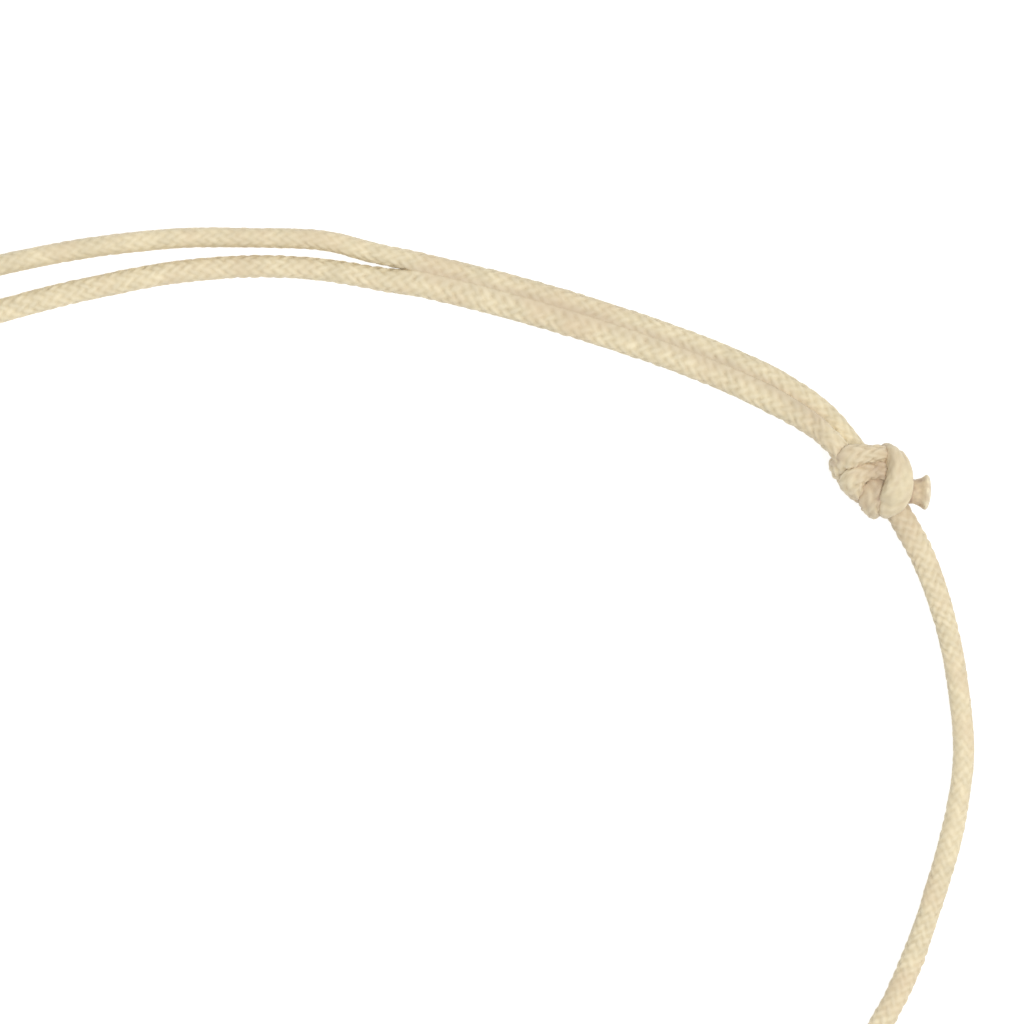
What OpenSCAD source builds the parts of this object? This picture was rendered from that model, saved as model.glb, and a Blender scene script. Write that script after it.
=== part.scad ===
// Adjustable cord bracelet, laid flat: one braided cord whose two ends run side by side
// between two sliding knots. Millimetres. The floor is z = 0, the middle of the laid loop
// is x = y = 0, and the knots are towards +Y.

/* [Cord] */
// Diameter of the braided cord
cord_d = 1.0; // [0.9:0.05:1.1]
// Number of flats round a length of cord
cord_sides = 8; // [8, 10, 12]

/* [Laid loop] */
// Overall width of the laid bracelet
loop_w = 65.6; // [60:0.2:72]
// Overall depth of the laid bracelet, from the knotted side to the front
loop_deep = 50.7; // [47:0.1:56]

/* [Knots] */
// Width of a flattened turn, in cord diameters
turn_wide = 1.35; // [1.1:0.05:1.4]
// Thickness of a flattened turn, in cord diameters
turn_thick = 0.9; // [0.7:0.05:1]
// Slit left round the cord that slides through a knot
slide_gap = 0.03; // [0.02:0.01:0.06]

/* [Tails] */
// Length of cord that stands out of a knot
tail_l = 0.85; // [0.65:0.05:2]
// Width across the melted end of a tail
melt_wide = 1.6; // [1.1:0.05:1.8]

/* [Hidden] */

cord_colour = [0.89, 0.83, 0.70];
knot_colour = [0.84, 0.77, 0.63];
melt_colour = [0.76, 0.68, 0.55];

// Routes are written for a loop 65.6 wide and 50.7 deep, and stretched to the asked size
x_stretch = (loop_w - cord_d) / 64.6;
y_stretch = (loop_deep - cord_d) / 49.7;

// Middle line of the two side by side lengths, left knot to right knot:
// x, y, height, distance between the two, and how far the inner one is above the outer one,
// the last three in cord diameters
pair_route = [
    [-25.8, 16.6, 1.20, 0.88, -0.55],
    [-24.0, 17.8, 0.85, 1.03, -0.15],
    [-21.5, 19.0, 0.60, 1.15, 0.00],
    [-17.8, 20.5, 0.50, 1.65, 0.00],
    [-14.0, 21.75, 0.50, 2.00, 0.00],
    [-10.8, 22.65, 0.50, 2.00, 0.00],
    [-7.2, 23.45, 0.50, 1.80, 0.00],
    [-3.6, 24.0, 0.50, 1.55, 0.00],
    [0.0, 24.2, 0.50, 1.30, 0.00],
    [3.6, 24.05, 0.50, 1.30, 0.00],
    [5.6, 23.65, 0.50, 1.12, 0.00],
    [8.0, 23.15, 0.50, 1.05, 0.00],
    [11.5, 22.3, 0.50, 1.05, 0.00],
    [15.0, 21.3, 0.50, 1.05, 0.00],
    [18.5, 20.15, 0.50, 1.05, 0.00],
    [21.5, 19.0, 0.60, 1.05, 0.00],
    [24.0, 17.8, 0.85, 1.03, 0.15],
    [25.8, 16.6, 1.20, 0.88, 0.55],
];

// Right half of the wrist loop, from the right knot to the middle of the front:
// x, y, height in cord diameters
front_route = [
    [29.7, 11.9, 1.05],
    [30.5, 10.4, 0.75],
    [31.3, 8.2, 0.55],
    [32.0, 5.0, 0.50],
    [32.3, 1.8, 0.50],
    [31.9, -1.4, 0.50],
    [31.0, -4.6, 0.50],
    [29.9, -7.8, 0.50],
    [28.4, -10.8, 0.50],
    [26.2, -13.7, 0.50],
    [23.4, -16.5, 0.50],
    [20.2, -18.9, 0.50],
    [16.6, -21.0, 0.50],
    [12.7, -22.7, 0.50],
    [8.6, -23.9, 0.50],
    [4.3, -24.6, 0.50],
    [0.0, -24.85, 0.50],
];

// Middle of the right knot, and how far the left knot is turned from the right one
knot_at = [28.3, 13.9];
knot_h = 1.6;
left_turn = -80;

// Inside the right knot, from its middle, in cord diameters: x, y, height.
// The cord that slides through, from the side by side lengths to the middle
slide_in = [
    [-1.4, 2.1, -0.45],
    [-0.65, 1.1, -0.35],
    [0.0, 0.15, -0.35],
];
// The same cord from the middle to the wrist loop
slide_out = [
    [0.0, 0.15, -0.35],
    [0.55, -0.6, -0.35],
    [1.0, -1.3, -0.40],
];
// The cord that ties the knot, up to its first turn
tie_in = [
    [-1.8, 1.6, 0.50],
    [-1.45, 1.0, 0.37],
];
// The turns of the knot, as it is tied: x, y, height, width, thickness. Each starts and
// ends inside the knot. From the tying cord down the front, and up behind
first_turn = [
    [-1.1, 0.65, 0.15, 0.9, 0.8],
    [-0.7, 0.3, 0.25, 1.0, 0.8],
    [-0.3, 0.1, 0.25, 1.0, 0.8],
    [-0.1, -0.15, 0.46, 1.26, 0.8],
    [-0.14, -0.48, 0.54, 1.3, 0.8],
    [-0.26, -0.86, 0.43, 1.22, 0.8],
    [-0.18, -1.10, 0.12, 1.2, 0.8],
    [0.0, -1.20, -0.35, 1.1, 0.8],
    [0.05, -1.0, -0.95, 1.0, 0.8],
    [0.2, -0.3, -1.15, 1.0, 0.8],
    [0.4, 0.3, -0.75, 0.9, 0.7],
];
// The wide turn beside the tail, from behind over the top and down the front
wide_turn = [
    [0.3, 0.1, -0.70, 1.0, 0.7],
    [0.4, 0.6, -1.05, 1.1, 0.8],
    [0.45, 1.08, -0.70, 1.0, 0.8],
    [0.55, 1.26, 0.00, 0.9, 0.8],
    [0.80, 1.1, 0.60, 0.88, 0.9],
    [0.99, 0.7, 0.93, 1.0, turn_thick],
    [1.055, 0.25, 1.08, 1.2, turn_thick],
    [1.02, -0.15, 1.08, turn_wide, turn_thick],
    [0.91, -0.54, 0.98, turn_wide, turn_thick],
    [0.74, -0.85, 0.73, turn_wide - 0.05, turn_thick],
    [0.53, -1.00, 0.24, 1.12, 1.1],
    [0.40, -1.0, -0.35, 1.0, 0.8],
    [-0.1, -0.6, -0.60, 0.9, 0.6],
];
// The turn over the side by side cords
entry_turn = [
    [-0.4, -0.4, -0.55, 0.9, 0.7],
    [-0.85, -0.1, -1.05, 1.0, 0.8],
    [-1.3, 0.2, -0.85, 1.0, 0.8],
    [-1.54, 0.5, -0.30, 1.1, 0.8],
    [-1.49, 0.78, 0.35, 1.22, 0.8],
    [-1.20, 1.03, 0.84, 1.26, 0.72],
    [-0.68, 1.18, 0.99, 0.98, 0.76],
    [-0.28, 1.22, 0.95, 0.84, 0.8],
    [0.1, 1.22, 0.82, 0.80, 0.8],
    [0.3, 1.15, 0.40, 0.9, 0.8],
    [0.2, 0.95, -0.45, 1.0, 0.8],
    [-0.1, 0.5, -0.70, 0.9, 0.7],
];
// The last turn, across the front and out under the wide one
last_turn = [
    [-0.1, 0.4, -0.60, 0.9, 0.7],
    [-0.45, 0.15, -1.10, 1.0, 0.8],
    [-0.78, -0.2, -0.85, 1.0, 0.8],
    [-0.97, -0.38, -0.20, 1.25, 0.8],
    [-1.09, -0.23, 0.40, 1.35, 0.8],
    [-1.0, 0.08, 0.76, 1.15, 0.8],
    [-0.71, 0.34, 0.82, 1.0, 0.8],
    [-0.42, 0.45, 0.70, 0.92, 0.8],
    [-0.1, 0.5, 0.62, 0.98, 0.8],
    [0.3, 0.48, 0.62, 1.06, 0.8],
    [0.7, 0.2, 0.44, 1.1, 0.85],
    [1.2, -0.43, 0.12, 1.08, 1.0],
    [1.65, -0.46, 0.10, 1.1, 1.05],
];
turns = [first_turn, wide_turn, entry_turn, last_turn];
knot_axis = [cos(-50), sin(-50), 0];
axis_h = -0.3;
// A tail from its root, in cord diameters: distance, width, thickness
tail_rows = [
    [0, 1.1, 1.05],
    [tail_l - 0.57, 1.15, 1.15],
    [tail_l - 0.40, 1.3, 1.3],
    [tail_l - 0.27, melt_wide, melt_wide],
    [tail_l - 0.18, melt_wide, melt_wide],
    [tail_l - 0.05, melt_wide - 0.7, melt_wide - 0.7],
    [tail_l, melt_wide - 1, melt_wide - 1],
];

function unit(v) = v / norm(v);
function backwards(rows) = [for (i = [len(rows) - 1 : -1 : 0]) rows[i]];
function mirrored(rows) = [for (r = rows) [-r[0], r[1], r[2]]];
function but_first(rows) = [for (i = [1 : len(rows) - 1]) rows[i]];

// Route rows at the asked size
function laid(rows) = [for (r = rows) [r[0] * x_stretch, r[1] * y_stretch, r[2] * cord_d]];

// Direction of travel at row i
function heading(rows, i) =
    let (a = rows[max(i - 1, 0)], b = rows[min(i + 1, len(rows) - 1)])
    unit([b[0] - a[0], b[1] - a[1], b[2] - a[2]]);

// One of the two side by side lengths: side is 1 for the outer and -1 for the inner
function beside(side) =
    let (mid = laid(pair_route))
    [for (i = [0 : len(mid) - 1])
        let (t = heading(mid, i), n = unit([-t[1], t[0], 0]))
        mid[i] + (n * side * pair_route[i][3] - [0, 0, side * pair_route[i][4]]) * cord_d / 2];

// Where a knot stands: hand is 1 for the right knot and -1 for the left one
function knot_middle(hand) =
    [hand * knot_at[0] * x_stretch, knot_at[1] * y_stretch, knot_h * cord_d];
function knot_turn(hand) = hand > 0 ? 0 : left_turn;

// Rows inside a knot, in their place
function placed(rows, hand) =
    let (a = knot_turn(hand))
    [for (r = rows) knot_middle(hand) + cord_d
        * [r[0] * cos(a) - r[1] * sin(a), r[0] * sin(a) + r[1] * cos(a), r[2]]];

// The whole cord, from the first turn of the left knot to the first turn of the right one
outer_rows = concat(backwards(placed(tie_in, -1)), beside(1), placed(slide_in, 1));
front_half = concat(but_first(placed(slide_out, 1)), laid(front_route));
other_half = concat(but_first(mirrored(backwards(laid(front_route)))),
                    backwards(placed(slide_out, -1)));
inner_rows = concat(but_first(backwards(placed(slide_in, -1))), beside(-1), placed(tie_in, 1));
cord_rows = concat(outer_rows, front_half, other_half, inner_rows);
right_middle = len(outer_rows) - 1;
left_middle = right_middle + len(front_half) + len(other_half);
cord_end = len(cord_rows) - 1;

// Points round the cord at one row of its route
function cord_ring(c, t, d) =
    let (s = unit(cross(t, [0, 0, 1])), u = cross(s, t))
    [for (k = [0 : cord_sides - 1])
        let (a = 90 + 360 * k / cord_sides) c + (s * cos(a) + u * sin(a)) * d / 2];

// Faces of a closed tube of so many rings
function tube_faces(rings) =
    let (n = cord_sides, last = (rings - 1) * n)
    concat(
        [[for (k = [n - 1 : -1 : 0]) k]],
        [for (i = [0 : rings - 2], k = [0 : n - 1], half = [0, 1])
            let (a = i * n + k, b = i * n + (k + 1) % n)
            half == 0 ? [a, b, a + n] : [b, b + n, a + n]],
        [[for (k = [0 : n - 1]) last + k]]);

// The cord between two rows of its route
module cord(first, last, d = cord_d) {
    polyhedron(
        points = [for (i = [first : last]) each cord_ring(cord_rows[i], heading(cord_rows, i), d)],
        faces = tube_faces(last - first + 1));
}

// Points round a turn of a knot: width lies along the knot, thickness points away from it
function turn_ring(c, t, wide, thick) =
    let (off = [c[0], c[1], c[2] - axis_h],
         away = off - knot_axis * (off * knot_axis),
         u = unit(away - t * (away * t)),
         s = cross(t, u))
    [for (k = [0 : cord_sides - 1])
        let (a = 90 + 360 * k / cord_sides) c + s * cos(a) * wide / 2 + u * sin(a) * thick / 2];

module in_knot(hand) {
    translate(knot_middle(hand)) rotate([0, 0, knot_turn(hand)]) scale(cord_d) children();
}

// One turn of a knot along its rows
module turn(rows) {
    polyhedron(
        points = [for (i = [0 : len(rows) - 1])
            let (r = rows[i])
            each turn_ring([r[0], r[1], r[2]], heading(rows, i), r[3], r[4])],
        faces = tube_faces(len(rows)));
}

// What the turns press together: a body through their middle lines
module packed_middle() {
    hull() for (rows = turns, i = [0 : len(rows) - 3])
        translate([rows[i][0], rows[i][1], rows[i][2]]) cube(0.1, center = true);
}

// The turns of one knot, opened for the cord that slides through and for the one that ties it
module knot(hand) {
    color(knot_colour)
        difference() {
            in_knot(hand) {
                for (rows = turns) turn(rows);
                packed_middle();
            }
            slid = hand > 0 ? right_middle : left_middle;
            cord(slid - 5, slid + 5, cord_d + 2 * slide_gap);
            if (hand > 0) cord(cord_end - 4, cord_end, cord_d + 2 * slide_gap);
            else cord(0, 4, cord_d + 2 * slide_gap);
        }
}

// The cut end beyond a knot, flared where it was melted
module tail(hand) {
    last = len(last_turn) - 1;
    root = [last_turn[last][0], last_turn[last][1], last_turn[last][2]];
    t = heading(last_turn, last);
    in_knot(hand)
        color(melt_colour)
            polyhedron(
                points = [for (r = tail_rows) each turn_ring(root + t * r[0], t, r[1], r[2])],
                faces = tube_faces(len(tail_rows)));
}

module wrist_loop() { color(cord_colour) cord(right_middle, left_middle); }
module outer_strand() { color(cord_colour) cord(0, right_middle); }
module inner_strand() { color(cord_colour) cord(left_middle, cord_end); }
module right_knot() { knot(1); }
module left_knot() { knot(-1); }
module right_tail() { tail(1); }
module left_tail() { tail(-1); }

wrist_loop();
outer_strand();
inner_strand();
right_knot();
left_knot();
right_tail();
left_tail();
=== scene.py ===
import math

import bmesh
import bpy
import numpy as np
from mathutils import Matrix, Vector
from mathutils.bvhtree import BVHTree


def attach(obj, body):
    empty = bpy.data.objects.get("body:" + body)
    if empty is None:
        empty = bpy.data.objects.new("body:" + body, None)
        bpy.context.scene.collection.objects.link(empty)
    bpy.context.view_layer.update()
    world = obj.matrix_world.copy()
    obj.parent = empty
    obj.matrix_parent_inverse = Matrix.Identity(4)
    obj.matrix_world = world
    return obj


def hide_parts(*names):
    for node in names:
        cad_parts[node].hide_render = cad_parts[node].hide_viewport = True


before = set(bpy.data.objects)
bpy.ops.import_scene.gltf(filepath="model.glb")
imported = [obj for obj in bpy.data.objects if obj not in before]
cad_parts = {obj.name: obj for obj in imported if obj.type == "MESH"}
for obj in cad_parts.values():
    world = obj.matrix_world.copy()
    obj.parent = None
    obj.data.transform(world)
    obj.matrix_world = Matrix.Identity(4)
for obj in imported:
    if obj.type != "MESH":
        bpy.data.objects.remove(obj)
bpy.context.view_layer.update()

mm = 0.001  # the tables below are in millimetres, the scene is in metres
body = "root"
print("frame loaded with", len(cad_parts), "nodes")

# The photo's frame, looked at straight from above
photoView = {
    "middle": (12.0, 12.52),  # what lies in the middle of the picture
    "across": 46.02,  # width of the picture, measured on the cord
    "cordHeight": 0.5,
    "distance": 520.0,
    "sensor": 36.0,
    "nearest": 0.01,  # what the camera sees, in metres
    "farthest": 10,
}


def makeCamera(view):
    camera = bpy.data.objects.new("photoCamera", bpy.data.cameras.new("photoCamera"))
    bpy.context.scene.collection.objects.link(camera)
    x, y = view["middle"]
    camera.location = (x * mm, y * mm, (view["cordHeight"] + view["distance"]) * mm)
    camera.data.sensor_width = view["sensor"]
    camera.data.lens = view["sensor"] * view["distance"] / view["across"]
    camera.data.clip_start = view["nearest"]
    camera.data.clip_end = view["farthest"]
    bpy.context.scene.camera = camera


makeCamera(photoView)
print("camera made")

# Route of the one cord. The side by side lengths are given by their middle line:
# x, y, height, distance apart, and how far the inner one is above the outer one
cordSize = 1.0
pairRoute = [
    (-25.8, 16.6, 1.20, 0.88, -0.55),
    (-24.0, 17.8, 0.85, 1.03, -0.15),
    (-21.5, 19.0, 0.60, 1.15, 0.00),
    (-17.8, 20.5, 0.50, 1.65, 0.00),
    (-14.0, 21.75, 0.50, 2.00, 0.00),
    (-10.8, 22.65, 0.50, 2.00, 0.00),
    (-7.2, 23.45, 0.50, 1.80, 0.00),
    (-3.6, 24.0, 0.50, 1.55, 0.00),
    (0.0, 24.2, 0.50, 1.30, 0.00),
    (3.6, 24.05, 0.50, 1.30, 0.00),
    (5.6, 23.65, 0.50, 1.12, 0.00),
    (8.0, 23.15, 0.50, 1.05, 0.00),
    (11.5, 22.3, 0.50, 1.05, 0.00),
    (15.0, 21.3, 0.50, 1.05, 0.00),
    (18.5, 20.15, 0.50, 1.05, 0.00),
    (21.5, 19.0, 0.60, 1.05, 0.00),
    (24.0, 17.8, 0.85, 1.03, 0.15),
    (25.8, 16.6, 1.20, 0.88, 0.55),
]
frontRoute = [  # right half: x, y, height, from the right knot to the middle of the front
    (29.7, 11.9, 1.05),
    (30.5, 10.4, 0.75),
    (31.3, 8.2, 0.55),
    (32.0, 5.0, 0.50),
    (32.3, 1.8, 0.50),
    (31.9, -1.4, 0.50),
    (31.0, -4.6, 0.50),
    (29.9, -7.8, 0.50),
    (28.4, -10.8, 0.50),
    (26.2, -13.7, 0.50),
    (23.4, -16.5, 0.50),
    (20.2, -18.9, 0.50),
    (16.6, -21.0, 0.50),
    (12.7, -22.7, 0.50),
    (8.6, -23.9, 0.50),
    (4.3, -24.6, 0.50),
    (0.0, -24.85, 0.50),
]

# Where the two knots stand, 1 for the right one and -1 for the left one. Rows inside a knot are
# measured from its middle: where the sliding cord goes in and out, and where the tying end goes in
knotPlace = {
    1: {"middle": (28.3, 13.9, 1.6), "turned": 0.0},
    -1: {"middle": (-28.3, 13.9, 1.6), "turned": math.radians(-80)},
}
slideIn = [(-1.4, 2.1, -0.45), (-0.65, 1.1, -0.35), (0.0, 0.15, -0.35)]
slideOut = [(0.55, -0.6, -0.35), (1.0, -1.3, -0.40)]
tieIn = [(-1.8, 1.6, 0.50), (-1.45, 1.0, 0.37)]

# Where the two lengths lie side by side, the soft cord is pressed together
nestle = {
    "from": 1.1,  # distance apart at which they come close
    "full": 1.06,  # and at which they are pressed together
    "slack": 0.35,  # the first part of the way, on which nothing is pressed yet
    "closer": 0.12,  # how far the inner one has moved up to the outer one
    "squash": 0.85,  # how flat they press each other
    "shade": (0.2, 0.46),  # painted shade where they touch, on the inner and on the outer one
    "thick": (1.0, 0.94),  # how thick they are there
    "touch": (0.52, 0.92),  # how far to a side the part that touches begins, and is full
    "smooth": 0.9,  # how much of the yarns' relief is lost where they touch
    "even": 0.6,  # and how much of the painted shade between the yarns
}


def unit(v):
    return v / np.linalg.norm(v, axis=-1, keepdims=True)


def ramp(value, start, full):  # 0 at the start, 1 from full on
    return np.clip((value - start) / (full - start), 0, 1)


def along(travelled, rows):  # the value that a table's rows give at each place of a cord
    return np.interp(travelled, *zip(*rows))


def inKnot(rows, hand):  # rows of a knot, set in their place
    place = knotPlace[hand]
    c, s = math.cos(place["turned"]), math.sin(place["turned"])
    rows = np.array(rows, float)
    put = rows.copy()
    put[:, 0] = place["middle"][0] + rows[:, 0] * c - rows[:, 1] * s
    put[:, 1] = place["middle"][1] + rows[:, 0] * s + rows[:, 1] * c
    put[:, 2] = place["middle"][2] + rows[:, 2]
    return put


def alone(rows):  # no other length presses on these
    return np.column_stack([rows, np.zeros(len(rows))])


def besideRoute(side):  # 1 for the outer of the two lengths, -1 for the inner
    rows = np.array(pairRoute)
    middle, apart, above = rows[:, :3], rows[:, 3], rows[:, 4]
    ahead = np.gradient(middle, axis=0)
    outward = unit(np.stack([-ahead[:, 1], ahead[:, 0], 0 * ahead[:, 0]], 1))
    shift = outward * apart[:, None] - np.outer(above, (0, 0, 1))
    pressed = ramp(apart, nestle["from"], nestle["full"])
    return np.column_stack([middle + shift * side * cordSize / 2, pressed])


spanSteps = 24  # points of a smooth line for each row of its table


def smoothLine(rows):  # a smooth curve through the rows, with their other columns carried along
    rows = np.array(rows, float)
    rows = np.vstack([2 * rows[0] - rows[1], rows, 2 * rows[-1] - rows[-2]])
    found = []
    for p0, p1, p2, p3 in zip(rows, rows[1:], rows[2:], rows[3:]):
        gaps = [math.sqrt(np.linalg.norm(b[:3] - a[:3])) for a, b in ((p0, p1), (p1, p2), (p2, p3))]
        t0, t1 = 0.0, gaps[0]
        t2 = t1 + gaps[1]
        t3 = t2 + gaps[2]
        t = np.linspace(t1, t2, spanSteps, endpoint=False)[:, None]
        a1 = (t1 - t) / (t1 - t0) * p0 + (t - t0) / (t1 - t0) * p1
        a2 = (t2 - t) / (t2 - t1) * p1 + (t - t1) / (t2 - t1) * p2
        a3 = (t3 - t) / (t3 - t2) * p2 + (t - t2) / (t3 - t2) * p3
        b1 = (t2 - t) / (t2 - t0) * a1 + (t - t0) / (t2 - t0) * a2
        b2 = (t3 - t) / (t3 - t1) * a2 + (t - t1) / (t3 - t1) * a3
        found.append((t2 - t) / (t2 - t1) * b1 + (t - t1) / (t2 - t1) * b2)
    return np.vstack(found + [rows[-2]])


def evenly(line, step):  # the same line with its points a step apart
    travelled = np.append(0, np.cumsum(np.linalg.norm(np.diff(line[:, :3], axis=0), axis=1)))
    count = int(round(travelled[-1] / step))
    wanted = np.linspace(0, travelled[-1], count + 1)
    return np.stack([np.interp(wanted, travelled, column) for column in line.T], 1), wanted


def wholeCord():  # rows of the whole cord, and the rows that lie in the middle of the two knots
    frontHalf = np.vstack([inKnot(slideOut, 1), frontRoute])
    otherHalf = np.array(frontRoute)[::-1][1:] * (-1, 1, 1)
    parts = [
        alone(inKnot(tieIn, -1)[::-1]),
        besideRoute(1),
        alone(inKnot(slideIn, 1)),
        alone(frontHalf),
        alone(otherHalf),
        alone(inKnot(slideOut, -1)[::-1]),
        alone(inKnot(slideIn, -1)[::-1]),
        besideRoute(-1),
        alone(inKnot(tieIn, 1)),
    ]
    rightMiddle = sum(len(p) for p in parts[:3]) - 1
    leftMiddle = sum(len(p) for p in parts[:6])
    return np.vstack(parts), rightMiddle, leftMiddle


# How the cord is braided: as many yarns run round it one way as the other
braid = {
    "yarns": 6,  # each way
    "lay": 3.3,  # length of cord in which a yarn goes once round
    "points": 6,  # mesh points across a yarn
    "lift": 0.028,  # how far a yarn rises and dips as it passes over and under
    "crown": 0.075,  # how round a yarn is
    "uneven": 0.9,
    "drift": 0.12,  # how far the yarns wander off their even lattice
    "worn": 0.45,  # how much smoother some places are than others
    "dark": 0.6,  # how much painted shade lies down between the yarns
    "wornPit": 0.25,  # and how much of it where they are worn quite smooth
    "deepest": 1.1,  # relief from which it gets no darker between them
    "turns": (0.21, 0.57, 1.1),  # how slowly the whole braid turns to and fro
}


def chance(i, j):  # the same small chance for the same two yarns, from -0.5 to 0.5
    wave = np.sin(i * 12.9898 + j * 78.233) * 43758.5453
    return wave - np.floor(wave) - 0.5


def wander(travelled, seed, waves):  # a slow wavering, from about -1 to 1
    return sum(np.sin(travelled * w + seed * (k + 1.7)) for k, w in enumerate(waves)) / len(waves)


def drift(roundCord, alongCord, seed):  # a slow wavering all over a cord
    waves = ((3, 2.1), (-2, 3.7), (1, 5.3))
    return sum(np.sin(k * roundCord + w * alongCord + seed * (k + 4)) for k, w in waves) / len(waves)


def yarnHeight(a, b, seed):  # height of the topmost yarn where two meet, the painted shade of its depth, its tone
    nearA, nearB = np.round(a), np.round(b)
    luck = chance(nearA + seed, nearB) * braid["uneven"]
    rise = np.cos(np.pi * (a + b)) * braid["lift"]
    edgeA, edgeB = (2 * (a - nearA)) ** 2, (2 * (b - nearB)) ** 2
    topA = rise * (1 + luck) - braid["crown"] * edgeA
    topB = -rise * (1 - luck) - braid["crown"] * edgeB
    height = np.maximum(topA, topB) - braid["lift"]
    pit = -height / (braid["lift"] + braid["crown"])
    tone = np.where(topA > topB, chance(nearA, seed), chance(nearB, seed + 3)) + chance(nearA, nearB + seed)
    return height, np.clip(braid["dark"] * (pit + edgeA * edgeB), 0, 1), tone


# The rounded square that a cord takes where it is pressed flat
roundedSquare = {
    "power": 0.25,  # the lower, the squarer
    "points": 400,  # for finding its even steps
    "steps": 60,
}


def squareQuarter():  # a quarter of it, in even steps
    t = np.linspace(0, math.pi / 2, roundedSquare["points"])
    x, y = np.cos(t) ** roundedSquare["power"], np.sin(t) ** roundedSquare["power"]
    gone = np.append(0, np.cumsum(np.hypot(np.diff(x), np.diff(y))))
    share = np.linspace(0, 1, roundedSquare["steps"])
    return share, np.interp(share, gone / gone[-1], x), np.interp(share, gone / gone[-1], y)


def outline(angle, flat):  # a circle, or up to a rounded square where flat is 1
    c, s = np.cos(angle), np.sin(angle)
    share, x, y = squareQuarter()
    fromSide = np.arctan2(np.abs(s), np.abs(c)) / (math.pi / 2)
    squareX = np.sign(c) * np.interp(fromSide, share, x)
    squareY = np.sign(s) * np.interp(fromSide, share, y)
    return c * (1 - flat) + squareX * flat, s * (1 - flat) + squareY * flat


def plainSides(count, flat):  # the two sides of rings that nothing shades or touches
    return {
        "flat": np.full((count, 2), flat),
        "shade": np.zeros((count, 2)),
        "touch": np.zeros((count, 2)),
    }


foldEnds = 0.1  # share of a turn in which a fold comes and goes


def foldIn(height, angle, progress, folds):  # lengthwise folds, and the painted shade down in them
    paintedShade = np.zeros_like(height)
    for fold in folds:
        away = (angle - math.radians(fold["at"]) + np.pi) % (2 * np.pi) - np.pi
        reach = np.exp(-((away / math.radians(fold["spread"])) ** 2))
        reach = reach * ramp(progress, fold["from"], fold["from"] + foldEnds)
        reach = reach * ramp(progress, fold["to"], fold["to"] - foldEnds)
        height = height - fold["depth"] * reach
        paintedShade = np.maximum(paintedShade, fold["shade"] * reach)
    return height, paintedShade


def diamondFaces(rings, around):  # faces that stand on their corners, with edges along the yarns
    ring, place = np.meshgrid(np.arange(1, rings - 1), np.arange(around), indexing="ij")
    odd = (ring - 1) % 2
    corners = [
        (ring - 1) * around + place,
        ring * around + (place + odd) % around,
        (ring + 1) * around + place,
        ring * around + (place - 1 + odd) % around,
    ]
    faces = np.stack(corners, -1).reshape(-1, 4).tolist()
    middle, half = (2 * place + odd) / (2 * around), 1 / (2 * around)
    v = np.stack([middle, middle + half, middle, middle - half], -1)
    u = np.stack([ring - 1, ring, ring + 1, ring], -1) / (2 * around)
    uv = np.stack([u, v], -1).reshape(-1, 2).tolist()
    # Close the two ends
    for end, inner, last in ((0, 1, False), (rings - 1, rings - 2, True)):
        shift = end % 2
        for k in range(around):
            beside = (k + 1) % around
            corner = [end * around + k, end * around + beside, inner * around + (k + shift) % around]
            faces.append(corner[::-1] if last else corner)
            uv += [(0.0, 0.0)] * 3
        cap = [end * around + k for k in range(around)]
        faces.append(cap if last else cap[::-1])
        uv += [(0.0, 0.0)] * around
    return faces, uv


# A braided tube along a line. shape says what each ring is like: its centre, side, up, wide and thick,
# and for its left and right side how flat it is, how much painted shade it has and how much it is touched
def braidedTube(shape, travelled, seed, relief=1.0, twist=0.5, folds=(), points=braid["points"]):
    rings, around = len(travelled), braid["yarns"] * points
    ring, place = np.meshgrid(np.arange(rings), np.arange(around), indexing="ij")
    step = 2 * place + ring % 2  # every second ring is turned by half a place
    roundCord, alongCord = np.pi * step / around, travelled[:, None]
    a = (step + ring) / (2 * points) + braid["drift"] * drift(roundCord, alongCord, seed)
    b = (step - ring) / (2 * points) + braid["drift"] * drift(roundCord, -alongCord, seed + 2)
    height, pit, tone = yarnHeight(a, b, round(seed * 10))
    relief = relief * (1 + braid["worn"] * drift(roundCord, 0.8 * alongCord, seed + 5))
    height = height * relief
    pit = braid["wornPit"] + (pit - braid["wornPit"]) * np.clip(relief, 0, braid["deepest"])
    angle = roundCord + twist * wander(travelled, seed, braid["turns"])[:, None]
    height, paintedShade = foldIn(height, angle, alongCord / travelled[-1], folds)
    onRight = np.cos(angle) > 0
    sides = [shape[name] for name in ("flat", "shade", "touch")]
    flat, shade, touch = (np.where(onRight, side[:, 1:], side[:, :1]) for side in sides)
    c, s = outline(angle, flat)
    # painted shade on the side that presses against the other strand
    paintedShade += shade * np.abs(c)
    touch = touch * ramp(np.abs(c), *nestle["touch"])
    height = height * (1 - nestle["smooth"] * touch)
    pit = pit * (1 - nestle["even"] * touch)
    across = c * (shape["wide"][:, None] / 2 + height)
    outward = s * (shape["thick"][:, None] / 2 + height)
    where = (
        shape["centre"][:, None]
        + across[..., None] * shape["side"][:, None]
        + outward[..., None] * shape["up"][:, None]
    )
    faces, uv = diamondFaces(rings, around)
    return {
        "points": where.reshape(-1, 3),
        "faces": faces,
        "uv": uv,
        "pit": pit.reshape(-1),
        "tone": tone.reshape(-1),
        "paintedShade": paintedShade.reshape(-1),
    }


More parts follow.
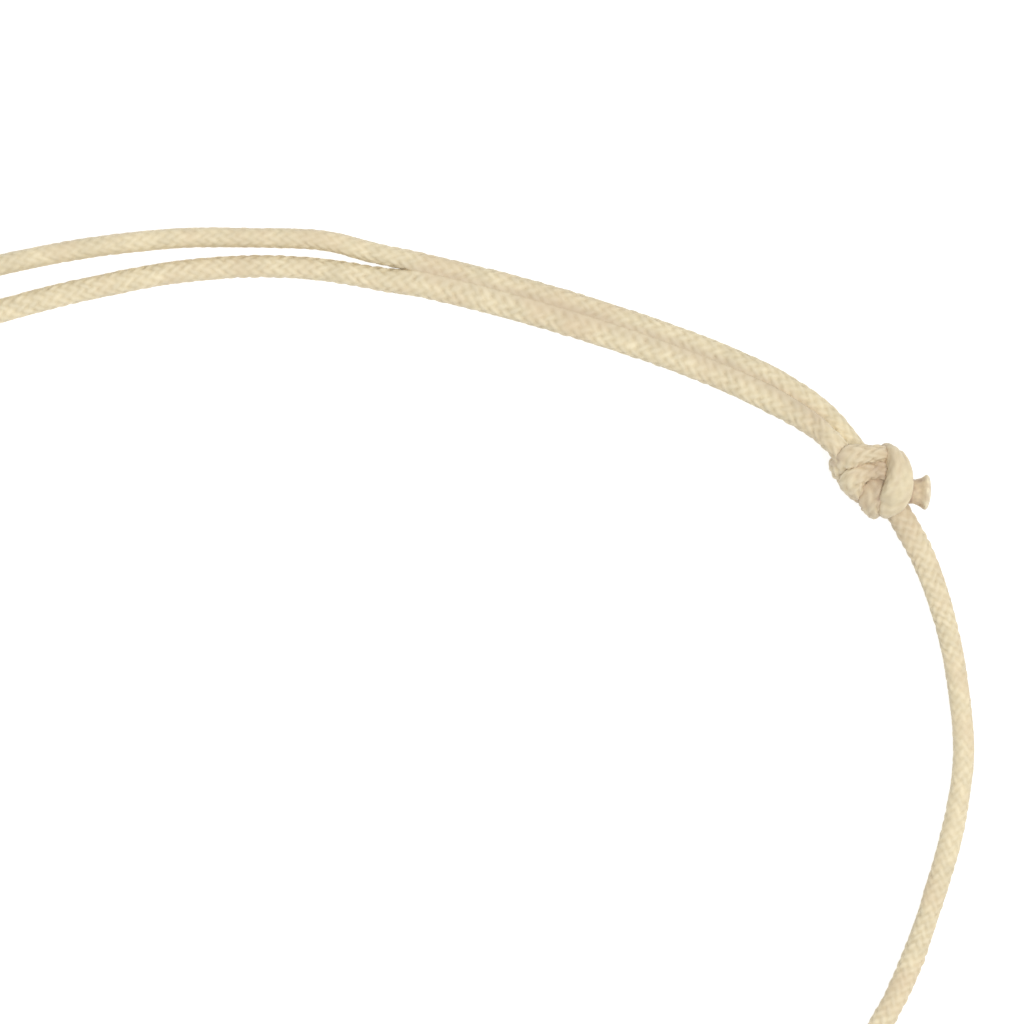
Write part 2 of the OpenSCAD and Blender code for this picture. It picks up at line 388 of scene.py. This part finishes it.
def makePiece(name, parts, material):  # one object of all the parts
    points = np.vstack([part["points"] for part in parts]) * mm
    uv = np.vstack([part["uv"] for part in parts])
    faces, start = [], 0
    for part in parts:
        faces += [[start + i for i in face] for face in part["faces"]]
        start += len(part["points"])
    mesh = bpy.data.meshes.new(name)
    mesh.from_pydata(points.tolist(), [], faces)
    mesh.uv_layers.new(name="yarnMap").data.foreach_set("uv", uv.astype(np.float32).ravel())
    for shading in ("pit", "tone", "paintedShade"):
        values = np.concatenate([part[shading] for part in parts]).astype(np.float32)
        mesh.attributes.new(shading, "FLOAT", "POINT").data.foreach_set("value", values)
    mesh.shade_smooth()
    mesh.update()
    mesh.materials.append(material)
    piece = bpy.data.objects.new(name, mesh)
    bpy.context.scene.collection.objects.link(piece)
    return piece


def finishPiece(piece, node):
    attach(piece, body)
    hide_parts(node)


def linear(red, green, blue):  # a colour as the eye reads it, 0 to 255, for a shader
    def one(value):
        value /= 255
        return value / 12.92 if value <= 0.04045 else ((value + 0.055) / 1.055) ** 2.4
    return (one(red), one(green), one(blue), 1)


def addNode(tree, kind, **values):
    node = tree.nodes.new(kind)
    for name, value in values.items():
        setattr(node, name, value)
    return node


def meshValue(tree, name):  # a value that the mesh carries
    return addNode(tree, "ShaderNodeAttribute", attribute_name=name).outputs["Fac"]


def arithmetic(tree, operation, first, second=0.0):  # one step with two sockets or numbers
    node = addNode(tree, "ShaderNodeMath", operation=operation)
    for socket, value in zip(node.inputs, (first, second)):
        if isinstance(value, (int, float)):
            socket.default_value = value
        else:
            tree.links.new(value, socket)
    return node.outputs[0]


def mixColours(tree, share, socket, colour):  # a mix node's sockets 6 and 7 are its colours
    mix = addNode(tree, "ShaderNodeMix", data_type="RGBA", blend_type="MIX")
    mix.inputs[7].default_value = linear(*colour)
    tree.links.new(share, mix.inputs[0])
    tree.links.new(socket, mix.inputs[6])
    return mix.outputs[2]


def clouds(tree, place, scale, detail):  # a noise from 0 to 1
    noise = addNode(tree, "ShaderNodeTexNoise")
    noise.inputs["Scale"].default_value = scale
    noise.inputs["Detail"].default_value = detail
    tree.links.new(place, noise.inputs["Vector"])
    return noise.outputs["Fac"]


cloudSpread = 5  # a noise seldom leaves its middle, so it is spread by this


def lighterAndDarker(tree, cloud, share):  # a noise to both sides of 0
    return arithmetic(tree, "MULTIPLY", arithmetic(tree, "SUBTRACT", cloud, 0.5), cloudSpread * share)


cottonLook = {
    "top": (230, 217, 185),
    "yarn": (220, 205, 170),
    "yarnAt": 0.4,  # how deep down a yarn has this colour
    # colour of the painted shade down in the pits between the yarns
    "pit": (203, 185, 151),
    # colour of the painted shade in creases, beside the knots and where the strands touch
    "paintedShade": (158, 130, 112),
    "creaseSpots": (1.2, 0.33),  # how spotted the painted crease shade is, and how much of it shows without spots
    "stain": (206, 183, 152),
    "stained": 0.5,
    "stainFrom": 0.48,  # the value of its clouds where a stain begins
    "stainFull": 0.72,
    "stainClouds": (450, 3),  # how small the clouds are, and how detailed
    "tone": 0.07,  # how much lighter and darker single yarns are
    "patch": 0.05,  # and patches of the cord
    "patchClouds": (900, 4),
    "mottle": 0.035,  # and small spots
    "mottleClouds": (4800, 2),
    "fibres": 16,  # fibres across a yarn
    "fibreClouds": (1, 2),
    "fibreBump": 0.25,
    "fibreDepth": 0.01,
    "roughness": 0.6,
    "gloss": 0.35,
    "sheen": 0.1,
}
meltedLook = dict(  # the same cotton, melted hard and smooth
    cottonLook,
    top=(234, 221, 190),
    yarn=(210, 192, 162),
    pit=(172, 148, 124),
    mottle=0.08,
    mottleClouds=(3600, 2),
    roughness=0.45,
    sheen=0.0,
)


def cordColour(tree, look):
    place = addNode(tree, "ShaderNodeTexCoord").outputs["Object"]

    # Lighter on top of a yarn, with painted shade in the pits between yarns
    depths = addNode(tree, "ShaderNodeValToRGB")
    depths.color_ramp.interpolation = "EASE"
    depths.color_ramp.elements[0].color = linear(*look["top"])
    depths.color_ramp.elements[1].color = linear(*look["pit"])
    depths.color_ramp.elements.new(look["yarnAt"]).color = linear(*look["yarn"])
    tree.links.new(meshValue(tree, "pit"), depths.inputs["Fac"])

    # Single yarns, slow patches and small spots that are lighter or darker
    patches = clouds(tree, place, *look["patchClouds"])
    spots = clouds(tree, place, *look["mottleClouds"])
    patch = lighterAndDarker(tree, patches, look["patch"])
    spot = lighterAndDarker(tree, spots, look["mottle"])
    tone = arithmetic(tree, "MULTIPLY", meshValue(tree, "tone"), look["tone"])
    shade = arithmetic(tree, "ADD", arithmetic(tree, "ADD", patch, spot), arithmetic(tree, "ADD", tone, 1))
    tinted = addNode(tree, "ShaderNodeVectorMath", operation="SCALE")
    tree.links.new(depths.outputs["Color"], tinted.inputs[0])
    tree.links.new(shade, tinted.inputs["Scale"])

    # Some places are a little redder
    redder = addNode(tree, "ShaderNodeMapRange")
    redder.inputs["From Min"].default_value = look["stainFrom"]
    redder.inputs["From Max"].default_value = look["stainFull"]
    redder.inputs["To Max"].default_value = look["stained"]
    tree.links.new(clouds(tree, place, *look["stainClouds"]), redder.inputs["Value"])
    stained = mixColours(tree, redder.outputs["Result"], tinted.outputs["Vector"], look["stain"])

    # Painted shade, brownish, in the creases and where cords meet, more in some spots than in others
    spotted, plain = look["creaseSpots"]
    blotch = arithmetic(tree, "ADD", arithmetic(tree, "MULTIPLY", spots, spotted), plain)
    paintedShading = arithmetic(tree, "MULTIPLY", meshValue(tree, "paintedShade"), blotch)
    return mixColours(tree, paintedShading, stained, look["paintedShade"])


def fibreBumps(tree, look):  # fibres run along whichever yarn is on top
    split = addNode(tree, "ShaderNodeSeparateXYZ")
    tree.links.new(addNode(tree, "ShaderNodeUVMap", uv_map="yarnMap").outputs["UV"], split.inputs[0])
    alongCord, roundCord = split.outputs[0], split.outputs[1]
    yarns = braid["yarns"]
    a = arithmetic(tree, "MULTIPLY", arithmetic(tree, "ADD", roundCord, alongCord), yarns)
    b = arithmetic(tree, "MULTIPLY", arithmetic(tree, "SUBTRACT", roundCord, alongCord), yarns)
    over = arithmetic(tree, "COSINE", arithmetic(tree, "MULTIPLY", roundCord, 2 * yarns * math.pi))
    ways = []
    for acrossYarn, alongYarn in ((a, b), (b, a)):
        way = addNode(tree, "ShaderNodeCombineXYZ")
        tree.links.new(arithmetic(tree, "MULTIPLY", acrossYarn, look["fibres"]), way.inputs[0])
        tree.links.new(alongYarn, way.inputs[1])
        ways.append(way)
    chosen = addNode(tree, "ShaderNodeMix", data_type="VECTOR")
    tree.links.new(arithmetic(tree, "GREATER_THAN", over, 0), chosen.inputs[0])
    tree.links.new(ways[1].outputs[0], chosen.inputs[4])  # sockets 4 and 5 are its vectors
    tree.links.new(ways[0].outputs[0], chosen.inputs[5])
    bump = addNode(tree, "ShaderNodeBump")
    bump.inputs["Strength"].default_value = look["fibreBump"]
    bump.inputs["Distance"].default_value = look["fibreDepth"] * mm
    tree.links.new(clouds(tree, chosen.outputs[1], *look["fibreClouds"]), bump.inputs["Height"])
    return bump.outputs["Normal"]


def cordMaterial(name, look):
    material = bpy.data.materials.new(name)
    material.use_nodes = True
    tree = material.node_tree
    shader = tree.nodes["Principled BSDF"]
    shader.inputs["Roughness"].default_value = look["roughness"]
    shader.inputs["Sheen Weight"].default_value = look["sheen"]
    shader.inputs["Specular IOR Level"].default_value = look["gloss"]
    tree.links.new(cordColour(tree, look), shader.inputs["Base Color"])
    tree.links.new(fibreBumps(tree, look), shader.inputs["Normal"])
    return material


cotton = cordMaterial("creamCotton", cottonLook)
meltedCotton = cordMaterial("meltedCotton", meltedLook)
print("materials made")

# The three free lengths of cord. Each table says, after so many millimetres, how raised the yarns are
# (relief), how wide the cord is (width), how much lighter or darker (toned), how much painted shade lies
# beside a knot (paintedShading), and how strong the painted shade is where it meets the other strand (seam)
cordLooks = {
    "outer_strand": {
        "piece": "outerStrandBraid",
        "seed": 1.3,
        "partner": 1,  # where the other strand lies: 1 on its right, -1 on its left, 0 nowhere
        "relief": [(0, 0.6), (22, 0.5), (32, 0.55), (38, 0.75), (59, 0.8)],
        "width": [
            (0, 1.0), (4, 0.98), (16, 0.97), (24, 0.94), (30, 0.91), (35, 0.94), (40, 0.97), (59, 1.0)
        ],
        # darker along the pair: partly its own tone, partly painted shade from the inner strand lying over
        # it
        "toned": [(0, -0.1), (30, -0.2), (38, -0.35), (45, -0.65), (61, -0.7)],
        "seam": [(0, 1), (44, 0.9), (54, 1.1), (61, 1.1)],
    },
    "wrist_loop": {
        "piece": "wristLoopBraid",
        "lay": 2.85,  # this and its points stand in for the braid's
        "points": 5,
        "seed": 2.9,
        "partner": 0,
        "relief": [
            (0, 1.05), (7, 1.0), (10, 0.6), (17, 0.55), (20, 0.9), (98, 0.9), (108, 0.7), (118, 1.0)
        ],
        "width": [
            (0, 1.16), (3, 1.18), (5, 1.12), (7.5, 1.03), (10, 0.98), (15, 0.97), (17.5, 1.06),
            (19.3, 1.05), (21, 1.0), (22.8, 1.09), (24.6, 1.09), (28, 1.05), (45, 0.98), (70, 1.03),
            (95, 0.98), (112, 1.02), (116, 1.1)
        ],
        # painted shade where the loop comes out from under a knot
        "paintedShading": [(0, 0.35), (2.2, 0.3), (2.8, 0.2), (3.4, 0.07), (4.5, 0), (115, 0), (118, 0.35)],
    },
    "inner_strand": {
        "piece": "innerStrandBraid",
        "seed": 4.1,
        "partner": -1,
        "relief": [(0, 0.8), (28, 0.75), (38, 0.85), (59, 0.9)],
        "width": [
            (0, 1.0), (4, 1.04), (17, 1.12), (20, 1.08), (24, 1.06), (30, 1.03), (36, 1.05), (37.2, 1.15),
            (38.5, 1.2), (55, 1.2), (58, 1.0)
        ],
        "toned": [(0, 0.2), (28, 0.2), (36, -0.25), (55, -0.3), (58, 0)],
        "seam": [(0, 1), (40, 0.8), (50, 1.5), (59, 1.8)],
    },
}
cordHabit = {
    "swell": 0.015,  # how much thicker and thinner the cord gets
    "swellWaves": (0.7, 1.9, 4.3),
    "stray": 0.015,  # how far it strays from its route
    "strayWaves": (0.45, 1.2),
    "flat": 0.12,
}


def cordRings(line, travelled, look):
    centre, pressed = line[:, :3], ramp(line[:, 3], nestle["slack"], 1)
    ahead = unit(np.gradient(centre, axis=0))
    side = unit(np.cross(ahead, (0, 0, 1)))
    swell = 1 + cordHabit["swell"] * wander(travelled, look["seed"], cordHabit["swellWaves"])
    wide = along(travelled, look["width"]) * swell * cordSize
    thick = np.minimum(cordSize, 1.5 * cordSize - wide / 2)  # where it is spread wide, it is thinner
    stray = cordHabit["stray"] * wander(travelled, look["seed"] + 9, cordHabit["strayWaves"])
    stray = stray * (1 - pressed)
    sides = plainSides(len(line), cordHabit["flat"])
    if look["partner"]:
        touching = max(look["partner"], 0)
        seam = along(travelled, look["seam"])
        sides["flat"][:, touching] += nestle["squash"] * pressed
        sides["shade"][:, touching] += nestle["shade"][touching] * pressed * seam
        sides["touch"][:, touching] = pressed
        thick = thick + (nestle["thick"][touching] - thick) * pressed
        if look["partner"] < 0:
            stray = stray - nestle["closer"] * pressed
    lower = np.outer((cordSize - thick) / 2, (0, 0, 1))
    return {
        "centre": centre + side * stray[:, None] - lower,
        "side": side,
        "up": np.cross(side, ahead),
        "wide": wide,
        "thick": thick,
        **sides,
    }


def braidStep(points=braid["points"], lay=braid["lay"]):  # how far apart the rings of a braided tube are
    return lay / (2 * braid["yarns"] * points)


def braidCords():
    rows, rightMiddle, leftMiddle = wholeCord()
    line = smoothLine(rows)
    cuts = [0, rightMiddle, leftMiddle, len(rows) - 1]
    cords = {}
    for (node, look), first, last in zip(cordLooks.items(), cuts, cuts[1:]):
        points = look.get("points", braid["points"])
        step = braidStep(points, look.get("lay", braid["lay"]))
        cut, travelled = evenly(line[first * spanSteps : last * spanSteps + 1], step)
        rings = cordRings(cut, travelled, look)
        relief = along(travelled, look["relief"])[:, None]
        tube = braidedTube(rings, travelled, look["seed"], relief, points=points)
        # their own tone, and the painted shade beside the knots
        for table, value in (("toned", "tone"), ("paintedShading", "paintedShade")):
            if table in look:
                tube[value] += along(travelled, look[table]).repeat(braid["yarns"] * points)
        cords[node] = {"tube": tube, "centre": rings["centre"], "length": travelled[-1]}
    return cords


# The turns of a knot: x, y, height, width, thickness, and how much painted shade darkens them.
# A fold lies at some degrees round its turn and goes from one share of the turn's length to another
knotTurns = {
    "first": {
        "rows": [
            (-1.1, 0.65, 0.15, 0.9, 0.8, 0.3),
            (-0.7, 0.3, 0.25, 1.0, 0.8, 0.3),
            (-0.3, 0.1, 0.25, 1.0, 0.8, 0.3),
            (-0.1, -0.15, 0.46, 1.26, 0.8, 0.1),
            (-0.14, -0.48, 0.54, 1.3, 0.8, 0),
            (-0.26, -0.86, 0.43, 1.22, 0.8, 0),
            (-0.20, -1.10, 0.12, 1.14, 0.9, 0),
            (-0.05, -1.18, -0.35, 1.0, 1.0, 0),
            (0.02, -1.0, -0.95, 1.0, 0.8, 0),
            (0.2, -0.3, -1.15, 1.0, 0.8, 0),
            (0.4, 0.3, -0.75, 0.9, 0.7, 0.3),
        ],
        "relief": 1.1,
    },
    "wide": {
        "rows": [
            (0.3, 0.1, -0.70, 1.0, 0.7, 0.3),
            (0.4, 0.6, -1.05, 1.1, 0.8, 0),
            (0.45, 1.08, -0.70, 1.0, 0.8, 0),
            (0.55, 1.26, 0.00, 0.9, 0.8, 0),
            (0.80, 1.1, 0.60, 0.88, 0.9, 0.12),
            (0.99, 0.7, 0.93, 1.0, 1.0, 0.05),
            (1.055, 0.25, 1.08, 1.2, 1.0, 0),
            (1.02, -0.15, 1.08, 1.32, 1.0, 0),
            (0.91, -0.54, 0.98, 1.38, 1.0, 0),
            (0.74, -0.85, 0.73, 1.30, 1.0, 0.1),
            (0.48, -1.04, 0.24, 1.2, 1.1, 0.15),
            (0.36, -1.04, -0.35, 1.1, 0.9, 0.2),
            (-0.1, -0.6, -0.60, 0.9, 0.6, 0.3),
        ],
        "relief": 0.45,
        "folds": [
            {"at": 104, "spread": 13, "depth": 0.05, "shade": 0.3, "from": 0.2, "to": 0.55},
            {"at": 150, "spread": 16, "depth": 0.0, "shade": 0.3, "from": 0.15, "to": 0.6},
            {"at": 64, "spread": 9, "depth": 0.03, "shade": 0.14, "from": 0.35, "to": 0.9},
            {"at": 125, "spread": 14, "depth": 0.03, "shade": 0.25, "from": 0.56, "to": 0.8},
        ],
        "flat": 0.4,
    },
    "entry": {
        "rows": [
            (-0.4, -0.4, -0.55, 0.9, 0.7, 0.3),
            (-0.85, -0.1, -1.05, 1.0, 0.8, 0),
            (-1.3, 0.2, -0.85, 1.0, 0.8, 0),
            (-1.54, 0.5, -0.30, 1.2, 0.95, 0),
            (-1.49, 0.78, 0.35, 1.22, 0.8, 0),
            (-1.20, 1.03, 0.84, 1.26, 0.72, 0.08),
            (-0.68, 1.18, 0.99, 0.98, 0.76, 0.12),
            (-0.28, 1.22, 0.95, 0.84, 0.8, 0.1),
            (0.1, 1.22, 0.82, 0.80, 0.8, 0.15),
            (0.3, 1.15, 0.40, 0.9, 0.8, 0.6),
            (0.2, 0.95, -0.45, 1.0, 0.8, 0.3),
            (-0.1, 0.5, -0.70, 0.9, 0.7, 0.3),
        ],
        "relief": 1.3,
        "creased": 0.6,  # how much of the painted shade in the creases shows on it
    },
    "last": {
        "rows": [
            (-0.1, 0.4, -0.60, 0.9, 0.7, 0.3),
            (-0.45, 0.15, -1.10, 1.0, 0.8, 0),
            (-0.78, -0.2, -0.85, 1.0, 0.8, 0),
            (-0.99, -0.36, -0.20, 1.38, 0.8, 0),
            (-1.09, -0.23, 0.40, 1.35, 0.8, 0),
            (-1.0, 0.08, 0.76, 1.15, 0.8, 0),
            (-0.71, 0.34, 0.82, 1.0, 0.8, 0.12),
            (-0.42, 0.45, 0.70, 0.92, 0.8, 0.32),
            (-0.1, 0.5, 0.62, 0.98, 0.8, 0.42),
            (0.3, 0.48, 0.62, 1.06, 0.8, 0.48),
            (0.7, 0.2, 0.44, 1.1, 0.85, 0.5),
            (1.2, -0.43, 0.12, 1.08, 1.0, 0.3),
            (1.65, -0.46, 0.10, 1.02, 1.0, 0.1),
        ],
        "relief": 1.1,
    },
}
turnHabit = {"flat": 0.3, "twist": 0.1}

# The line that the turns go round
knotAxis = {"point": (0, 0, -0.3), "way": (math.cos(math.radians(-50)), math.sin(math.radians(-50)), 0)}


def turnRings(line):  # a turn lies flat against the knot
    axis = np.array(knotAxis["way"])
    ahead = unit(np.gradient(line[:, :3], axis=0))
    off = line[:, :3] - np.array(knotAxis["point"])
    away = off - np.outer(off @ axis, axis)
    up = unit(away - ahead * np.sum(away * ahead, 1, keepdims=True))
    return {
        "centre": line[:, :3],
        "side": np.cross(ahead, up),
        "up": up,
        "wide": line[:, 3],
        "thick": line[:, 4],
        "paintedTurnShade": line[:, 5],
    }


def putInPlace(rings, hand, flat):
    placed = dict(rings, **plainSides(len(rings["centre"]), flat))
    placed["centre"] = inKnot(rings["centre"], hand)
    for name in ("side", "up"):  # these are turned and not moved
        placed[name] = inKnot(rings[name], hand) - np.array(knotPlace[hand]["middle"])
    return placed


# What the turns are wrapped round, hardly seen between them: a soft lump within their lower rows, with
# painted shade on it
packedCore = {
    "below": 0.5,
    "leftOut": 2,  # so many rows at the end of each turn
    "cuts": 3,
    "rounds": 4,
    "smoothing": 0.4,
    # painted shade, as on cord deep inside the knot
    "pit": 0.5,
    "paintedShade": 0.3,
}


def packedMiddle(hand):
    mesh = bmesh.new()
    for turn in knotTurns.values():
        rows = turn["rows"][: -packedCore["leftOut"]]
        for row in inKnot([row for row in rows if row[2] < packedCore["below"]], hand):
            mesh.verts.new(row[:3])
    bmesh.ops.convex_hull(mesh, input=mesh.verts)
    bmesh.ops.delete(mesh, geom=[v for v in mesh.verts if not v.link_faces], context="VERTS")
    bmesh.ops.subdivide_edges(mesh, edges=mesh.edges, cuts=packedCore["cuts"], use_grid_fill=True)
    allWays = {"use_axis_x": True, "use_axis_y": True, "use_axis_z": True}
    for _ in range(packedCore["rounds"]):
        bmesh.ops.smooth_vert(mesh, verts=mesh.verts, factor=packedCore["smoothing"], **allWays)
    bmesh.ops.recalc_face_normals(mesh, faces=mesh.faces)
    mesh.verts.index_update()
    count = len(mesh.verts)
    part = {
        "points": np.array([v.co[:] for v in mesh.verts]),
        "faces": [[v.index for v in face.verts] for face in mesh.faces],
        "pit": np.full(count, packedCore["pit"]),
        "tone": np.zeros(count),
        "paintedShade": np.full(count, packedCore["paintedShade"]),
    }
    part["uv"] = [(0.0, 0.0)] * sum(len(face) for face in part["faces"])
    mesh.free()
    return part


def tieKnot(hand):
    parts = [packedMiddle(hand)]
    for number, turn in enumerate(knotTurns.values()):
        line, travelled = evenly(smoothLine(turn["rows"]), braidStep())
        rings = putInPlace(turnRings(line), hand, turn.get("flat", turnHabit["flat"]))
        folds = turn.get("folds", ())
        tube = braidedTube(rings, travelled, number + 2 * hand, turn["relief"], turnHabit["twist"], folds)
        tube["creased"] = turn.get("creased", 1.0)
        # painted shade along each turn, from its rows
        paintedTurnShade = np.repeat(rings["paintedTurnShade"], len(tube["paintedShade"]) // len(travelled))
        tube["paintedShade"] = np.maximum(tube["paintedShade"], paintedTurnShade)
        parts.append(tube)
    return parts


# A tail's cut end, melted to a flared rim: distance from its root, width
tailShape = {
    "rows": [
        (-0.7, 0.8),
        (-0.5, 1.08),
        (-0.25, 1.12),
        (0.0, 1.12),
        (0.12, 1.14),
        (0.28, 1.2),
        (0.42, 1.34),
        (0.52, 1.52),
        (0.60, 1.64),
        (0.67, 1.56),
        (0.75, 1.25),
        (0.80, 0.85),
        (0.83, 0.5),
        (0.84, 0.15),
    ],
    "melted": (0.36, 0.52),  # the yarns run together from here to there
    "relief": 0.5,
    "flat": 0.1,
    "points": 8,
    "lumps": 0.05,
    "lumpScale": 5,
    "stub": (0.5, 0.3),  # how dark it is before the rim, and how much that varies
    "rim": (0.1, 0.25),  # and on the rim
}


def lumpy(points, hand):  # the unevenness of the melt
    x, y, z = points.T * tailShape["lumpScale"]
    waves = np.sin(1.3 * x + 2.1 * y + hand) + np.sin(2.2 * y - 1.7 * z) + np.sin(1.9 * z + 1.1 * x + 2)
    return waves / 3


def meltTail(hand):
    before, root = (np.array(row[:3]) for row in knotTurns["last"]["rows"][-2:])
    profile = smoothLine([(d, w / 2, 0) for d, w in tailShape["rows"]])
    profile, travelled = evenly(profile, braidStep(tailShape["points"]))
    distance, width = profile[:, 0], 2 * profile[:, 1]
    ends = turnRings(np.array([[*before, 1, 1, 0], [*root, 1, 1, 0]]))
    count = len(profile)
    rings = {
        "centre": root + np.outer(distance, unit(root - before)),
        "side": np.tile(ends["side"][-1], (count, 1)),
        "up": np.tile(ends["up"][-1], (count, 1)),
        "wide": width,
        "thick": width,
    }
    placed = putInPlace(rings, hand, tailShape["flat"])
    tail = braidedTube(placed, travelled, 5.0 + hand, tailShape["relief"], 0, points=tailShape["points"])
    # Lumps of the melt, and no more yarns to be seen in it
    around = braid["yarns"] * tailShape["points"]
    centre = np.repeat(placed["centre"], around, axis=0)
    melt = np.repeat(ramp(distance, *tailShape["melted"]), around)
    lumps = lumpy(tail["points"], hand)
    tail["points"] = centre + (tail["points"] - centre) * (1 + tailShape["lumps"] * melt * lumps)[:, None]
    stub = tailShape["stub"][0] + tailShape["stub"][1] * (tail["pit"] - lumps)
    rim = tailShape["rim"][0] - tailShape["rim"][1] * lumps
    tail["pit"] = np.clip(stub * (1 - melt) + rim * melt, 0, 1)
    tail["tone"] = tail["tone"] * (1 - melt)
    return [tail]


# Creases between the turns get painted shade by how much of the open air each point sees
creaseShade = {
    "reach": 3.0,  # points this near to a knot's middle are looked at
    "sight": 1.0,  # how far away something still shades a point
    "rays": 24,
    "off": 0.03,  # how far above the surface a ray starts
    "far": 0.5,  # how much less something shades at the end of its sight
    "starts": 0.55,  # the share hidden at which the shade begins
    "full": 0.9,
    "most": 0.75,
    "onCords": 0.3,  # how much of it shows on the cords that go in
}


def outwardNormals(part):
    points = part["points"]
    normals = np.zeros_like(points)
    for size in (4, 3):
        corners = np.array([face for face in part["faces"] if len(face) == size])
        if len(corners):
            first = points[corners[:, 2]] - points[corners[:, 0]]
            second = points[corners[:, -1]] - points[corners[:, 1]]
            for k in range(size):
                np.add.at(normals, corners[:, k], np.cross(first, second))
    return normals / np.maximum(np.linalg.norm(normals, axis=1, keepdims=True), 1e-9)


def rayFan():  # rays spread evenly over the half of the sky above a point
    k = np.arange(creaseShade["rays"]) + 0.5
    out, turn = np.sqrt(k / creaseShade["rays"]), k * math.pi * (3 - math.sqrt(5))
    return np.stack([out * np.cos(turn), out * np.sin(turn), np.sqrt(1 - out * out)], 1)


def hiddenShare(tree, point, rays):  # how much of what a point looks at is near and in the way
    origin = Vector(point)
    hidden = 0.0
    for way in rays:
        distance = tree.ray_cast(origin, Vector(way), creaseShade["sight"])[3]
        if distance is not None:
            hidden += 1 - creaseShade["far"] * distance / creaseShade["sight"]
    return hidden / creaseShade["rays"]


def shadeCreases(cords, turns, hand):
    parts = cords + turns
    middle = np.array(knotPlace[hand]["middle"])
    points, faces, start = [], [], 0
    for part in parts:
        near = np.linalg.norm(part["points"] - middle, axis=1) < creaseShade["reach"] + creaseShade["sight"]
        points.append(part["points"])
        faces += [[start + i for i in face] for face in part["faces"] if near[face[0]]]
        start += len(part["points"])
    tree = BVHTree.FromPolygons(np.vstack(points).tolist(), faces)
    fan = rayFan()
    for number, part in enumerate(parts):
        shown = creaseShade["onCords"] if number < len(cords) else part.get("creased", 1)
        normals = outwardNormals(part)
        helper = np.where(np.abs(normals[:, 2:]) < 0.9, (0, 0, 1), (1, 0, 0))
        east = unit(np.cross(helper, normals) + 1e-12)
        north = np.cross(normals, east)
        starts = part["points"] + creaseShade["off"] * normals
        near = np.linalg.norm(part["points"] - middle, axis=1) < creaseShade["reach"]
        hidden = np.zeros(len(starts))
        for i in np.nonzero(near)[0]:
            hidden[i] = hiddenShare(tree, starts[i], fan @ np.array([east[i], north[i], normals[i]]))
        # painted shade, darker the more of the open air is hidden
        depth = ramp(hidden, creaseShade["starts"], creaseShade["full"]) * creaseShade["most"] * shown
        part["paintedShade"] = np.maximum(part["paintedShade"], depth)


def makeBracelet():
    cords = braidCords()
    print("cord braided")
    knots = {hand: tieKnot(hand) for hand in (1, -1)}
    tails = {hand: meltTail(hand) for hand in (1, -1)}
    print("knots tied")
    for hand in (1, -1):
        shadeCreases([cord["tube"] for cord in cords.values()], knots[hand] + tails[hand], hand)
    print("creases shaded")
    for node, cord in cords.items():
        piece = makePiece(cordLooks[node]["piece"], [cord["tube"]], cotton)
        finishPiece(piece, node)
        print(piece.name, "laid,", round(cord["length"], 1), "mm long")
    for hand, name in ((1, "right"), (-1, "left")):
        finishPiece(makePiece(name + "KnotTurns", knots[hand], cotton), name + "_knot")
        finishPiece(makePiece(name + "TailMelted", tails[hand], meltedCotton), name + "_tail")
    print("bracelet made")


makeBracelet()

# Pale floor and soft light, in metres
studio = {
    "floorSize": 4.0,
    "floor": (160, 160, 160),
    "floorRoughness": 0.9,
    "floorGlow": 0.8,
    "sky": 0.48,
    "lamps": {
        "frontSoftbox": {"at": (0.20, 0.02, 0.68), "size": 0.45, "power": 3.5},
    },
}


def makeFloor(look):
    half = look["floorSize"] / 2
    corners = [(-half, -half, 0), (half, -half, 0), (half, half, 0), (-half, half, 0)]
    mesh = bpy.data.meshes.new("paleFloor")
    mesh.from_pydata(corners, [], [(0, 1, 2, 3)])
    floor = bpy.data.objects.new("paleFloor", mesh)
    bpy.context.scene.collection.objects.link(floor)
    paint = bpy.data.materials.new("paleFloor")
    paint.use_nodes = True
    shader = paint.node_tree.nodes["Principled BSDF"]
    shader.inputs["Base Color"].default_value = linear(*look["floor"])
    shader.inputs["Roughness"].default_value = look["floorRoughness"]
    shader.inputs["Emission Color"].default_value = (1, 1, 1, 1)
    shader.inputs["Emission Strength"].default_value = look["floorGlow"]
    mesh.materials.append(paint)


def makeLight(look):
    world = bpy.data.worlds.new("softSky")
    world.use_nodes = True
    world.node_tree.nodes["Background"].inputs["Color"].default_value = (1, 1, 1, 1)
    world.node_tree.nodes["Background"].inputs["Strength"].default_value = look["sky"]
    bpy.context.scene.world = world
    for name, lamp in look["lamps"].items():
        light = bpy.data.lights.new(name, "AREA")
        light.shape = "DISK"
        light.size = lamp["size"]
        light.energy = lamp["power"]
        holder = bpy.data.objects.new(name, light)
        holder.location = lamp["at"]
        holder.rotation_euler = (-Vector(lamp["at"])).to_track_quat("-Z", "Y").to_euler()
        bpy.context.scene.collection.objects.link(holder)
    bpy.context.scene.view_settings.view_transform = "Standard"


makeFloor(studio)
makeLight(studio)
print("studio lit")
